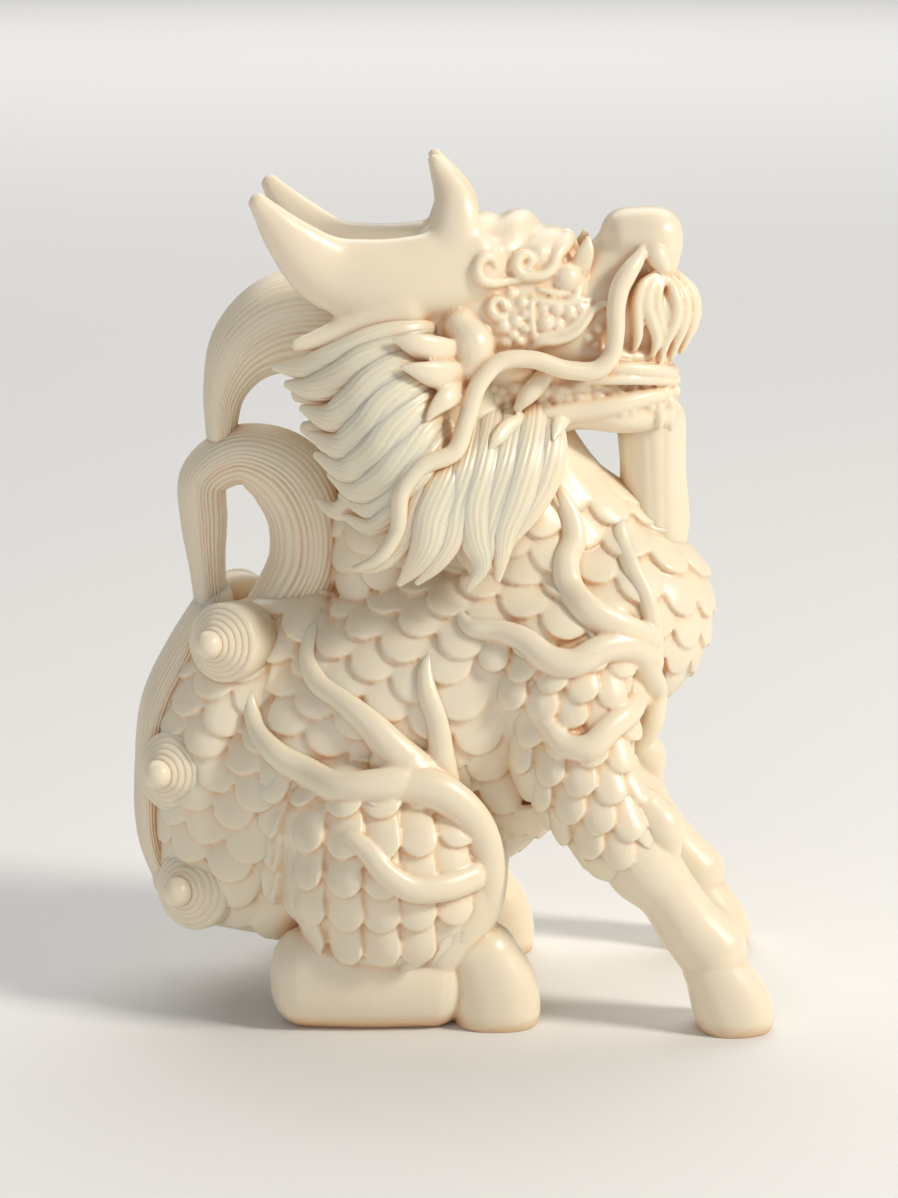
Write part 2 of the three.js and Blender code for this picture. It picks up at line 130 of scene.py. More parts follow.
# Plain forms of the body, the head, the tail and the antlers
TORSO = [
    [-24.3, 0, 20.5, 12, 14], [-19.3, 0, 28.2, 14.5, 16], [-10.2, 0, 35.3, 16.5, 17],
    [0.1, 0, 40.8, 17, 17], [10.4, 0, 46.1, 16, 16.5], [19.8, 0, 50.3, 13.2, 14],
]
BELLY = [[-14, 0, 22, 11, 14], [0, 0, 28, 12, 14], [10, 0, 34, 11, 13]]
SPINE = [[-18, 0, 48, 6, 9], [-26, 0, 42, 7.5, 11], [-30, 0, 31, 8, 12], [-30, 0, 20, 7, 12]]
RUMP = [[-31, 0, 15.5, 7, 9], [-22, 0, 15.5, 8, 13], [-12, 0, 16.5, 8.5, 13]]
NECK = [
    [14.2, 0, 51.4, 12.2, 13], [9.1, 0, 59.2, 12.1, 12], [3.9, 0, 67, 11.7, 12],
    [-1, 0, 74.7, 12, 11.5], [-1, 0, 83.6, 10.5, 10],
]
NAPE = [[-9, 0, 56, 6, 8], [-8, 0, 68, 6, 9], [-8, 0, 80, 6, 8]]
THROAT = [[9, 0, 76, 4.5, 7], [14, 0, 67.5, 5, 8], [18.5, 0, 60, 7, 9]]
THIGH = [[-11.1, 13, 26.3, 11.2, 9], [-8, 14, 20.1, 13.9, 9.5], [-6.1, 14.5, 14.9, 11.8, 8]]
HIND_SHIN = [[3.4, 15, 21.8, 4.2, 5], [2.6, 15, 16.6, 4.4, 5], [-1.1, 15, 10.4, 4.6, 5]]
HIND_FOOT = [[-17.4, 15, 6, 6.4, 5.2], [-9.9, 15, 6, 6.6, 5.4], [-2.6, 15, 5.4, 5.8, 5]]
HIND_HOOF = [[4.4, 15, 8.2, 4.6, 4.6], [5.6, 15, 5, 5.4, 5], [6, 15, 2.4, 5.6, 5]]
SHOULDER = [[13.7, 9.5, 48.2, 11.1, 8], [13.7, 12, 42.5, 10, 7]]
UPPER_ARM = [[14, 12.6, 40.5, 9.4, 6], [17, 15.4, 31.5, 6.8, 5.4], [21, 16.8, 24.6, 4.8, 4.6]]
FORELEG = [
    [22.5, 17, 24, 4.4, 4.4], [24.2, 17, 21.2, 4.8, 4.4], [27, 17, 17.9, 3.9, 3.8],
    [30.2, 17, 13.3, 4.1, 4], [33, 17, 10, 4.5, 4.4],
]
KNEE = [[24.5, 17, 28.5, 2.6, 2.6], [26.4, 17.5, 25.8, 3, 3], [27, 17.5, 23.4, 2, 2]]
FORE_HOOF = [[33.4, 17, 7.4, 3.9, 4.4], [34.6, 17, 5, 4.6, 4.8], [35.8, 17, 2.4, 5, 5.1]]

SKULL = [[-1.1, 0, 84.8, 10.7, 10], [6.4, 0, 87.4, 9.6, 10], [14, 0, 87.4, 7.5, 8.5]]
CROWN = [[1, 0, 93.4, 7, 8.4], [7.5, 0, 93.6, 6.6, 8.4], [12.2, 0, 92.4, 5.2, 7.4]]
CROWN_TUFTS = [
    [[4.4, 0, 98.4, 2.8], [3.4, 3.4, 98, 2.6], [2, 6.6, 96.2, 2]],
    [[8.8, 0, 98.8, 2.7], [8, 3.2, 98.4, 2.4], [6.8, 6.2, 96.8, 1.8]],
    [[13, 0, 96.8, 2.5], [12.2, 3.2, 96.9, 2.3], [11, 6, 96.2, 1.6]],
]
SNOUT = [[13.9, 0, 88.6, 5.8, 7.2], [20.2, 0, 88.4, 6.2, 6.8], [25, 0, 88, 5.4, 5]]
BRIDGE = [[16.8, 0, 92, 3.4, 4.6], [20.4, 0, 94.6, 3.8, 4.4], [23.4, 0, 96.8, 4, 4.4]]
NOSE = [[22.9, 0, 97.5, 4.1, 4.7], [25.1, 0, 97.5, 4.2, 5]]
NOSE_TIP = [[24.6, 0, 95.2, 3.2, 4.4], [25.4, 0, 95, 3.4, 4]]
MUZZLE = [[24.4, 0, 88.8, 4.8, 5.6], [26.6, 0, 88.4, 4.4, 5.2]]
UPPER_LIP = [[14, 0, 84, 2.6, 7.8], [20.5, 0, 83.4, 2.2, 7], [25.9, 0, 82.8, 2.2, 4.4]]
LOWER_JAW = [
    [4, 0, 75, 4.5, 9], [9, 0, 75.2, 4, 8.5], [15.6, 0, 76.4, 2.6, 7.8], [21.5, 0, 75.9, 2.6, 7.2],
    [26.3, 0, 75.9, 2.7, 4.6],
]
GUM = [[4, 0, 79.4, 3.4, 8.6], [13, 0, 79.8, 2.8, 8], [20, 0, 79.6, 2.4, 7], [26.4, 0, 79, 2.2, 4]]
GOATEE = [[25.6, 0, 74.4, 4.4, 4], [25.9, 0, 68, 4.2, 4], [25.8, 0, 61, 4.8, 4.5], [23.4, 0, 55, 5.6, 5]]

CREST = [
    [-2, 0, 86.5, 8, 9], [-8, 0, 86.4, 8, 8.4], [-15, 0, 87.4, 6.9, 7], [-21.3, 0, 86.7, 6.3, 6],
    [-25.7, 0, 83.6, 4.8, 5], [-28.3, 0, 78.5, 2.8, 3.6], [-28.9, 0, 73, 1.9, 3],
]
TAIL_RING = [
    [-24, 0, 45.6, 5, 5], [-20.8, 0, 51, 4.7, 5], [-17.9, 0, 56.6, 5.2, 5], [-18.1, 0, 63.2, 5.3, 5],
    [-21.4, 0, 68.4, 5.1, 5], [-26.4, 0, 70.2, 3.9, 4.4], [-31, 0, 67.4, 3.2, 4],
    [-31.2, 0, 61.8, 3, 3.8],
    [-30.8, 0, 55.3, 2.3, 4], [-30.2, 0, 49, 2.2, 5],
]
BACK_HAIR = [
    [-30, 0, 51.4, 2.4, 5], [-33, 0, 44.8, 3.4, 6], [-36.2, 0, 38.2, 3.4, 6.5], [-37.6, 0, 30.2, 3, 6.5],
    [-37.8, 0, 20.8, 2.6, 6], [-34.8, 0, 12.7, 2.6, 5],
]

ANTLER_BEAM = [
    [3.8, 8, 95.5, 4.4, 2.6], [-2.3, 9, 94, 5.2, 3], [-8.4, 10, 93.5, 5.1, 3],
    [-14.5, 11, 94.6, 4.6, 2.6], [-19.3, 13, 98.7, 3.1, 2.1], [-23.1, 14, 103.4, 1.3, 1.2],
]
ANTLER_TOP_TINE = [
    [0.6, 8, 97, 3.9, 2.8], [0.7, 7, 102.4, 2.7, 2.2], [-0.5, 5.5, 105.3, 1.8, 1.6],
    [-1.8, 5, 107.7, 1, 1],
]
ANTLER_LOW_TINE = [[-6, 10, 90.8, 4, 2.6], [-12.7, 11, 87.3, 2.2, 1.8], [-18.7, 12, 85.7, 0.9, 0.9]]

# Round ropes of the head that stand free, as [x, out, z, radius]
WHISKER = [
    [24, 4.6, 97, 0.5], [23.4, 5.6, 95.8, 0.9], [22.2, 6.6, 94.2, 1.2], [21.1, 7.3, 92.3, 1.25],
    [20.6, 7.9, 90, 1.2], [20.5, 8.4, 86.4, 1.15], [20, 8.6, 84, 1.15], [18.6, 9, 82.5, 1.2],
    [14.9, 10, 82.4, 1.2], [9.9, 11, 83.9, 1.15], [6.2, 12, 83.7, 1.15], [3.8, 13.2, 81.4, 1.15],
    [2.1, 14.6, 76.8, 1.15], [0.7, 16, 73.3, 1.15], [-3.5, 17.4, 71.5, 1.15], [-5.7, 18, 68.6, 1.1],
    [-6.4, 18, 63.6, 1], [-9.1, 18, 60, 0.8], [-11.3, 17.8, 59, 0.4],
]
MOUSTACHE = [
    [[25.3, 4.6, 93.5, 0.5], [23.9, 5.6, 92.4, 0.7], [23.3, 6, 90.6, 0.78], [23.3, 6, 88.1, 0.78],
     [23.4, 5.9, 85.9, 0.65], [23.1, 5.8, 84.4, 0.35]],
    [[26.1, 4.2, 93.4, 0.5], [24.9, 5.2, 91.7, 0.7], [24.5, 5.8, 89.7, 0.8], [25.2, 5.6, 87.7, 0.8],
     [25.8, 5.2, 85.6, 0.7], [25.3, 5, 83.4, 0.35]],
    [[26.6, 4, 93.1, 0.5], [26, 4.8, 91.7, 0.65], [25.8, 5.2, 89.9, 0.65], [26.4, 5, 87.7, 0.5],
     [26.9, 4.8, 86, 0.3]],
    [[27.2, 3.4, 92.9, 0.5], [27.8, 4, 91.6, 0.7], [28.3, 4.4, 89.8, 0.8], [27.9, 4.4, 87.3, 0.8],
     [26.9, 4.3, 85, 0.7], [26.4, 4.1, 82.4, 0.35]],
    [[27.9, 2.6, 92.8, 0.5], [29, 3, 91.4, 0.7], [29.5, 3.3, 89.3, 0.8], [29, 3.3, 86.6, 0.75],
     [28.2, 3.1, 84.4, 0.6], [27.8, 3, 82.8, 0.3]],
    [[28.7, 1.4, 92.9, 0.6], [30.1, 1.7, 91.3, 0.75], [30.6, 1.9, 89.1, 0.8], [30.3, 1.9, 86.7, 0.75],
     [29.5, 1.7, 84.7, 0.6], [29, 1.5, 83.4, 0.3]],
    [[28.8, 0, 92.9, 0.6], [30.4, 0, 91.2, 0.75], [31, 0, 89, 0.8], [30.6, 0, 86.6, 0.75],
     [29.8, 0, 84.4, 0.4]],
]
FANG = [[12, 8.4, 81.8, 1.15], [10.7, 9, 80.2, 1.25], [9.3, 9.3, 78.7, 1.05], [8.5, 9.4, 77.6, 0.6]]
TEETH = [
    [[26.3, 4.3, 77, 0.6], [26.4, 4.6, 75.4, 0.6], [26.4, 4.6, 74.4, 0.35]],
    [[27.6, 3, 76.8, 0.6], [27.8, 3.3, 75.2, 0.6], [27.8, 3.3, 74, 0.35]],
    [[28.5, 1.2, 76.8, 0.6], [28.8, 1.4, 75.4, 0.6], [28.8, 1.4, 74.4, 0.35]],
]
FRILL = [[15.6, 4.6, 93, 1.2], [16.4, 5, 95, 1.3], [17, 4.9, 96.8, 1], [17.2, 4.6, 98.2, 0.35]]
JAW_LEAVES = [
    [[9.4, 9, 75.7, 1.3], [7.5, 11, 75.3, 1.4], [5.9, 13, 74.3, 0.9], [4.9, 14, 73, 0.3]],
    [[12.2, 8, 75.6, 1.2], [11.2, 10.4, 74.6, 1.2], [10.3, 13, 73, 0.3]],
    [[14.6, 7.4, 76.6, 1], [13.6, 9.4, 75.5, 1], [12.8, 11.4, 74, 0.3]],
]
CHEEK_LEAVES = [
    [[1, 11, 84.6, 1.6], [-2.2, 14.4, 85.6, 1.8], [-4.8, 15.6, 86.5, 1.3], [-6.8, 15.8, 87, 0.3]],
    [[1.4, 11.6, 82, 1.7], [-1.9, 15.4, 82.7, 1.7], [-4.1, 16.6, 83.4, 1], [-5.8, 17, 83.8, 0.3]],
    [[1.4, 12, 80.6, 1.7], [-0.5, 15.4, 79.6, 1.4], [-1.9, 16.4, 78.3, 0.8], [-2.7, 16.8, 77.2, 0.3]],
]
UPPER_LIP_BANDS = [
    [[19, 7.6, 82.4, 0.6], [21.4, 7.2, 82.3, 0.85], [24.5, 6, 81.9, 0.85], [27, 3.9, 81.4, 0.85],
     [28, 1.6, 81, 0.85],
     [28.2, 0, 80.9, 0.85]],
    [[17, 8, 80.8, 0.5], [19.9, 7.8, 80.9, 0.65], [23.7, 6.6, 80.7, 0.65], [26.9, 4.2, 80.3, 0.65],
     [28.2, 1.8, 79.9, 0.6],
     [28.4, 0, 79.8, 0.6]],
]
LOWER_LIP = [
    [8.4, 7.8, 76.2, 0.9], [12, 7.8, 76.4, 1.2], [16, 7.4, 76.8, 1.3], [19, 7.2, 77.3, 1.3],
    [22, 6.4, 77.9, 1.3],
    [25.3, 4.6, 78.4, 1.1], [27.2, 2.6, 78.4, 1], [27.8, 0, 78.2, 1],
]

# Ridges and lumps of the face, laid on the head
FACE_RIDGES = [
    [[5.8, 95.2, 0.4], [5.1, 96.3, 0.6], [4, 96.2, 0.65], [3.4, 94.9, 0.7], [3.9, 93.7, 0.7],
     [5.1, 93.2, 0.65],
     [6.9, 93.2, 0.55], [8.7, 93.4, 0.4]],
    [[9.5, 94.9, 0.4], [10.2, 95.4, 0.5], [9.6, 96.4, 0.65], [8.6, 96.1, 0.75], [8.2, 95.1, 0.75],
     [8.8, 94.1, 0.7],
     [10.3, 93.8, 0.7], [11.9, 94, 0.7], [12.8, 94.9, 0.75], [13.2, 96.1, 0.9], [14, 97, 1],
     [15.2, 97.3, 0.9],
     [15.8, 96.7, 0.5]],
    [[7, 90.1, 0.4], [6.4, 91, 0.5], [5.5, 91, 0.6], [5.1, 90, 0.6], [5.6, 89.1, 0.6], [6.6, 88.8, 0.5]],
    [[14.8, 94.9, 0.4], [15.9, 94.2, 0.55], [16.2, 92.8, 0.6], [15.7, 91.3, 0.55], [14.5, 90.5, 0.4]],
    [[11.1, 92.2, 0.35], [12.3, 91.8, 0.45], [13.6, 91.5, 0.45], [14.8, 91.5, 0.35]],
    [[10.3, 91.1, 0.35], [11.5, 90.7, 0.5], [13.1, 90.4, 0.5], [14.9, 90.4, 0.45], [16.6, 90.7, 0.45],
     [17.4, 90.7, 0.3]],
    [[10.3, 91.3, 0.3], [10.1, 89.9, 0.4], [10.2, 88, 0.4], [10.5, 86.1, 0.3]],
    [[10, 84.7, 0.4], [11.3, 85.7, 0.65], [13.3, 85.9, 0.7], [15.3, 86.6, 0.65], [16.9, 88.3, 0.6],
     [18, 89.6, 0.55],
     [19.3, 90.2, 0.4]],
    [[10.6, 86.4, 0.3], [13.2, 86.9, 0.4], [14.8, 87.4, 0.4], [16.1, 88.6, 0.4], [16.9, 89.8, 0.35],
     [17.3, 90.7, 0.3]],
]
EYE = [14.4, 93.2, 2]
FACE_LUMPS = [
    [13.2, 89.7, 0.95], [14.8, 89.2, 0.9], [16.1, 89.8, 0.7], [11.8, 88.1, 1.15], [13.3, 87.8, 0.8],
    [11.5, 89.8, 0.7], [8.9, 90.6, 0.8], [9.3, 89.2, 0.7], [8.1, 88.3, 0.95], [9.3, 87.5, 0.7],
    [7.8, 86.7, 0.8], [6.6, 87.7, 1], [6.9, 85.8, 0.8], [8.6, 85.8, 0.7], [7.6, 91.7, 0.7],
    [17.2, 86.2, 0.8], [18.6, 87.2, 0.7], [18.2, 85.2, 0.7],
]
CHEEK = [[1.4, 9.6, 87.8, 2.2], [2.7, 10.4, 85.4, 2.9], [2.4, 10.8, 82.8, 2.2]]
NOSTRIL_WING = [[24.8, 4, 97, 1.1], [25.7, 4.4, 95.9, 1.5], [26.5, 4, 94.6, 1.1]]

# Locks of the mane and the beard: [x, out, z, half breadth], from the crest round to the throat
MANE_LOCKS = [
    [[-0.3, 7, 87, 0.6], [-4.4, 11.5, 87, 2], [-8.9, 13, 86, 2.4], [-13.5, 13, 84.2, 2.2],
     [-17.6, 12, 83, 1.6],
     [-21.5, 10, 82.8, 0.5]],
    [[-0.8, 8, 85.5, 1.8], [-5.3, 13, 85, 2.4], [-9.8, 14.4, 83.8, 2.6], [-13.4, 14, 81.8, 2.3],
     [-16.6, 12.8, 80.7, 1.7],
     [-20, 11, 80.8, 0.5]],
    [[-0.3, 8, 83.2, 1.8], [-4.4, 13.6, 83.5, 2.5], [-8.4, 15.4, 81.9, 2.7], [-11.4, 15.4, 78.9, 2.6],
     [-14.2, 14, 77.2, 2], [-18.1, 12, 78, 0.5]],
    [[-0.3, 8, 81.4, 1.8], [-3.9, 14, 81.5, 2.5], [-7.5, 16, 79.4, 2.8], [-10, 16, 76, 2.7],
     [-13, 14.6, 73.8, 2],
     [-17.1, 12.4, 74.8, 0.5]],
    [[0.2, 8, 79, 1.8], [-3.5, 14.4, 79, 2.5], [-6.6, 16.4, 76.6, 2.8], [-9.1, 16.4, 73.1, 2.6],
     [-12.4, 14.8, 71, 1.9],
     [-16.4, 12.6, 72.3, 0.5]],
    [[0.2, 9, 77.3, 1.8], [-3, 14.8, 76.6, 2.4], [-5.5, 16.6, 73.4, 2.7], [-8, 16.6, 70.2, 2.4],
     [-11.2, 15, 68.4, 1.7],
     [-14.7, 13, 70, 0.5]],
    [[0.6, 9, 75.5, 1.8], [-2.1, 14.8, 74.1, 2.2], [-4.4, 16.8, 71.1, 2.4], [-6.7, 16.4, 68, 2.1],
     [-9.6, 15, 66.1, 1.5],
     [-13.3, 13, 67.4, 0.5]],
    [[-2.6, 12, 71.8, 1.6], [-4.4, 16, 69.2, 2], [-6.7, 16.2, 65.8, 1.9], [-9.4, 15, 63.8, 1.3],
     [-13, 13.4, 64.8, 0.4]],
    [[-4, 9, 74, 2], [-8, 12.4, 70, 2.6], [-11, 12.6, 66.6, 2.2], [-14, 11, 65, 1.2],
     [-16.4, 9, 66, 0.4]],
    [[-3, 6, 80, 3], [-9, 10.6, 77, 3.4], [-13.6, 10.6, 74.6, 2.8], [-18, 8.4, 75, 0.8]],
    [[-3, 6, 84, 3], [-9, 10.6, 82, 3.2], [-15, 10.4, 80, 2.6], [-19, 8.4, 79, 0.8]],
]
BEARD_LOCKS = [
    [[-0.8, 12, 71.8, 1.6], [-2.6, 16, 68.8, 2.1], [-4.4, 17, 64.8, 2], [-6.4, 17, 61.6, 1.6],
     [-8.9, 17, 59.5, 1.1],
     [-11.7, 16.6, 58.8, 0.4]],
    [[1.1, 12, 72.7, 1.8], [-0.3, 15.8, 69.6, 2.3], [-2.1, 17.4, 65.7, 2.4], [-2.8, 17.8, 62.1, 2],
     [-4.4, 17.4, 59.1, 1.3],
     [-6.1, 17, 57, 0.4]],
    [[3.6, 8, 76.6, 1.8], [2.9, 12, 74, 2], [1.8, 15, 70.5, 2.2], [0.4, 16.4, 66.6, 2.3],
     [-0.1, 17, 63, 2], [-2.1, 17, 59.3, 1.3],
     [-3.9, 16.8, 57.1, 0.4]],
    [[5.6, 7.6, 77, 1.8], [4.9, 11.6, 74.2, 2], [3.8, 14.6, 70.3, 2.3], [2.7, 16, 66.4, 2.4],
     [3.1, 16.6, 62.4, 1.9], [4, 16.8, 59.4, 1.2],
     [2.4, 16.8, 56.3, 0.4]],
    [[8.2, 6.6, 77.4, 1.8], [7.7, 10.6, 74.6, 2], [6.6, 13.6, 70.7, 2.3], [5.2, 15, 66.8, 2.3],
     [4.3, 15.8, 63.2, 1.8], [4.3, 16.4, 60.1, 1.1],
     [3.4, 16.4, 57.7, 0.4]],
    [[10.8, 5.6, 78.4, 1.8], [10.4, 9.4, 75.4, 2], [9.3, 12.6, 71.4, 2.5], [7.9, 14.4, 67.1, 2.5],
     [6.5, 15.4, 63.1, 1.9], [6.3, 16, 60, 1.1],
     [6, 16.2, 57.3, 0.4]],
    [[13, 4.4, 79, 0.7], [12.9, 7.8, 76.2, 1.3], [12.3, 10.6, 72.6, 2.4], [11.1, 12.4, 68.7, 2.4],
     [9.5, 13.6, 65.7, 2], [7.5, 14.6, 62.6, 1.3],
     [6.3, 15, 59.5, 0.5]],
    [[2, 8, 72, 2.6], [0, 13.4, 68, 3], [-1.5, 14.4, 63.5, 2.6], [-3, 14.6, 60, 1.4]],
    [[7, 8, 72, 2.6], [5, 12, 68, 3], [4, 13.4, 63.5, 2.4], [4, 14, 60, 1.2]],
]

# Flames on the flanks: the stem as [x, out, z, radius], the tongues laid on the body as [x, z, radius]
HIND_STEM = [
    [2.6, 17.2, 13.4, 1.9], [4.2, 17.8, 17, 2.1], [4.7, 18.2, 20.5, 2.3], [4.4, 18.6, 24, 2.3],
    [3.2, 19.2, 27.2, 2.3],
    [1, 19.6, 29.8, 2.4], [-1.6, 19.8, 31.5, 2.5], [-4.8, 20, 32.2, 2.3], [-8, 20, 32.3, 1.9],
]
HIND_FLAMES = [
    [[-0.8, 31.6, 2.2], [-1, 35.6, 1.7], [-1.5, 40, 1.4], [-2.7, 43.6, 1.3], [-2.9, 46, 1],
     [-2.2, 48.4, 0.3]],
    [[-2.2, 32.5, 2.4], [-6.3, 35.8, 2.4], [-9.7, 39.4, 1.9], [-13.2, 42, 1.5], [-16.3, 43.8, 1.4],
     [-17.6, 46.8, 1.2],
     [-17.2, 49.4, 0.8], [-16.2, 51.6, 0.3]],
    [[-2, 32, 2.4], [-6, 32.6, 2.3], [-9.2, 32.5, 2.1], [-13.8, 32.2, 2], [-17.8, 33.4, 1.9],
     [-21.9, 35.5, 1.6],
     [-24.2, 38.2, 1.3], [-24.9, 40.6, 0.9], [-24.8, 42.9, 0.35]],
    [[3, 20.6, 1.9], [-0.5, 20, 1.8], [-4.6, 20.2, 1.7], [-7.8, 22.3, 1.6], [-10.1, 25, 1.4],
     [-12.1, 26.2, 1.1],
     [-13.5, 26.1, 0.7]],
    [[-1.8, 32.8, 2.4], [-5.4, 33.8, 2.6], [-8.4, 35, 1.8]],
]
FRONT_FLAMES = [
    [[24, 34.1, 1.2], [25.6, 37.7, 1.5], [25.9, 41, 1.7], [25, 44.1, 1.8], [23.8, 47.2, 1.9]],
    [[24.9, 47, 1.9], [21.8, 48.9, 1.9], [18.4, 48.9, 1.8], [15.2, 47.5, 1.8], [12.4, 47.9, 1.8],
     [9.2, 50.1, 1.6],
     [5.7, 51, 1.4], [2.7, 51.2, 1.2], [1.6, 52.2, 0.8], [1.2, 53.4, 0.3]],
    [[24.7, 49.4, 1.8], [20.5, 51.6, 2], [16.9, 53.6, 2], [14.8, 56.2, 1.8], [14.5, 58.9, 1.7],
     [15.5, 61.5, 1.6],
     [15, 64.2, 1.4], [13.7, 66.8, 1.1], [13, 68.6, 0.5]],
    [[25.3, 46, 1.5], [25.1, 51.5, 1.3], [24.3, 54.8, 1.2], [22.7, 57.9, 1.2], [21.6, 60.6, 1.1],
     [21.3, 62.7, 0.9],
     [22.1, 64, 0.4]],
    [[25.9, 40.1, 1.6], [24.2, 41.1, 1.7], [21.9, 40.6, 1.7], [19.6, 39.2, 1.7], [16.9, 37.2, 1.7],
     [14.3, 37.5, 1.5],
     [12.5, 39.2, 1.3], [10.8, 40.6, 0.7]],
]

CURLS = [
    {"ball": (-29.8, 13.8, 48.6), "radius": 5},
    {"ball": (-36.6, 12.2, 31.5), "radius": 5.2},
    {"ball": (-34.3, 12.9, 16.4), "radius": 5.4},
]
CURL_AXIS = Vector((-0.5, -0.85, 0.1)).normalized()


def spline(stops, count):
    """Points evenly spaced on a smooth curve through the stops, with every column carried along."""
    knots = np.array(stops, float)
    gaps = np.linalg.norm(np.diff(knots[:, :3], axis=0), axis=1)
    reach = np.concatenate([[0], np.cumsum(gaps)])
    slopes = np.gradient(knots, reach, axis=0)
    at = np.linspace(0, reach[-1], count)
    span = np.clip(np.searchsorted(reach, at, side="right") - 1, 0, len(gaps) - 1)
    width = gaps[span][:, None]
    part = (at[:, None] - reach[span][:, None]) / width
    first = (1 + 2 * part) * (1 - part) ** 2 * knots[span]
    second = part**2 * (3 - 2 * part) * knots[span + 1]
    bend = part * (1 - part) * width * ((1 - part) * slopes[span] - part * slopes[span + 1])
    return first + second + bend


def skin_of(rings):
    """Triangles of a closed tube whose rings have the same number of points, with flat ends."""
    count, sides = rings.shape[:2]
    points = np.concatenate([rings.reshape(-1, 3), rings[0].mean(0)[None], rings[-1].mean(0)[None]])
    near = np.arange(sides)
    far = (near + 1) % sides
    faces = []
    for ring in range(count - 1):
        low, high = ring * sides, (ring + 1) * sides
        faces.append(np.stack([low + near, low + far, high + far], 1))
        faces.append(np.stack([low + near, high + far, high + near], 1))
    start, end = count * sides, count * sides + 1
    faces.append(np.stack([np.full(sides, start), far, near], 1))
    last = (count - 1) * sides
    faces.append(np.stack([np.full(sides, end), last + near, last + far], 1))
    return outward(points, np.concatenate(faces))


def outward(points, faces):
    """Turn the triangles round if they face inwards."""
    corners = points[faces]
    volume = np.einsum("ij,ij->i", corners[:, 0], np.cross(corners[:, 1], corners[:, 2])).sum()
    return (points, faces if volume > 0 else faces[:, ::-1])


def plain_section(angles, along):
    return np.ones_like(angles)


def sweep(stops, sides=28, step=0.5, section=plain_section, square=1.0):
    """A closed tube along a curve through the stops, with an oval section and round ends.

    A square below 1 makes the section and the ends blocky.
    """
    length = np.linalg.norm(np.diff(np.array(stops)[:, :3], axis=0), axis=1).sum()
    rows = spline(stops, max(8, int(length / step)))
    centres = rows[:, :3] * (1, -1, 1)
    tangents = np.gradient(centres, axis=0)
    tangents /= np.linalg.norm(tangents, axis=1)[:, None]
    across = np.array([0, 1, 0]) - tangents * tangents[:, 1:2]
    across /= np.linalg.norm(across, axis=1)[:, None]
    up = np.cross(across, tangents)
    sizes = np.maximum(rows[:, 3:5], 0.15)
    angles = np.linspace(0, 2 * math.pi, sides, endpoint=False)
    high = np.sign(np.cos(angles)) * np.abs(np.cos(angles)) ** square
    wide = np.sign(np.sin(angles)) * np.abs(np.sin(angles)) ** square
    stations = [(0, -turn) for turn in np.linspace(math.pi / 2, 0, 7)[:-1]]
    stations += [(index, 0) for index in range(len(rows))]
    stations += [(len(rows) - 1, turn) for turn in np.linspace(0, math.pi / 2, 7)[1:]]
    rings = []
    for index, turn in stations:
        advance = math.copysign(abs(math.sin(turn)) ** square, turn) * min(sizes[index])
        bulge = section(angles, index / (len(rows) - 1)) * max(math.cos(turn), TUBE_TIP) ** square
        ring = up[index] * (high * bulge * sizes[index][0])[:, None]
        ring = ring + across[index] * (wide * bulge * sizes[index][1])[:, None]
        rings.append(centres[index] + tangents[index] * advance + ring)
    return skin_of(np.array(rings))


def rope(stops, sides=16, flat=1.0):
    """A round rope through [x, out, z, radius] stops."""
    return sweep([[x, out, z, radius, radius * flat] for x, out, z, radius in stops], sides, 0.35)


def ball(place, radius, squash=1.0):
    x, out, z = place
    return sweep([[x - 0.02, out, z, radius, radius * squash],
    [x + 0.02, out, z, radius, radius * squash]], 18)


def strands(count, depth, size):
    """A section that is scalloped into strands, with narrow lines of uneven depth between them."""

    def section(angles, along):
        turned = angles + 0.1 * np.sin(2 * angles + 1.3) + 0.05 * np.sin(5 * angles + 2.5 * along)
        groove = 1 - np.abs(np.sin(count * turned / 2)) ** 0.7
        uneven = 0.55 + 0.3 * np.sin(3 * angles + 2 * along) + 0.15 * np.sin(7 * angles + 1)
        return 1 - depth / size * groove * uneven

    return section


def mirrored(form):
    points, faces = form
    return (points * (1, -1, 1), faces[:, ::-1])


def both(forms):
    return [*forms, *[mirrored(form) for form in forms]]


def gathered(forms):
    """One list of points and one of triangles for several forms."""
    starts = np.cumsum([0, *[len(points) for points, faces in forms]])
    points = np.concatenate([points for points, faces in forms])
    faces = np.concatenate([faces + start for (points_, faces), start in zip(forms, starts)])
    return (points, faces)


def new_object(name, form):
    points, faces = form
    mesh = bpy.data.meshes.new(name)
    mesh.vertices.add(len(points))
    mesh.vertices.foreach_set("co", np.ascontiguousarray(points, np.float32).ravel())
    mesh.loops.add(faces.size)
    mesh.loops.foreach_set("vertex_index", np.ascontiguousarray(faces, np.int32).ravel())
    mesh.polygons.add(len(faces))
    mesh.polygons.foreach_set("loop_start", np.arange(0, faces.size, 3, dtype=np.int32))
    mesh.update(calc_edges=True)
    piece = bpy.data.objects.new(name, mesh)
    bpy.context.scene.collection.objects.link(piece)
    return piece


def settle(piece):
    """Apply the modifiers of a piece."""
    graph = bpy.context.evaluated_depsgraph_get()
    mesh = bpy.data.meshes.new_from_object(piece.evaluated_get(graph))
    piece.modifiers.clear()
    old = piece.data
    piece.data = mesh
    bpy.data.meshes.remove(old)


def form_of(piece):
    mesh = piece.data
    points = np.empty(len(mesh.vertices) * 3, np.float32)
    mesh.vertices.foreach_get("co", points)
    mesh.calc_loop_triangles()
    faces = np.empty(len(mesh.loop_triangles) * 3, np.int32)
    mesh.loop_triangles.foreach_get("vertices", faces)
    return (points.reshape(-1, 3).astype(float), faces.reshape(-1, 3))


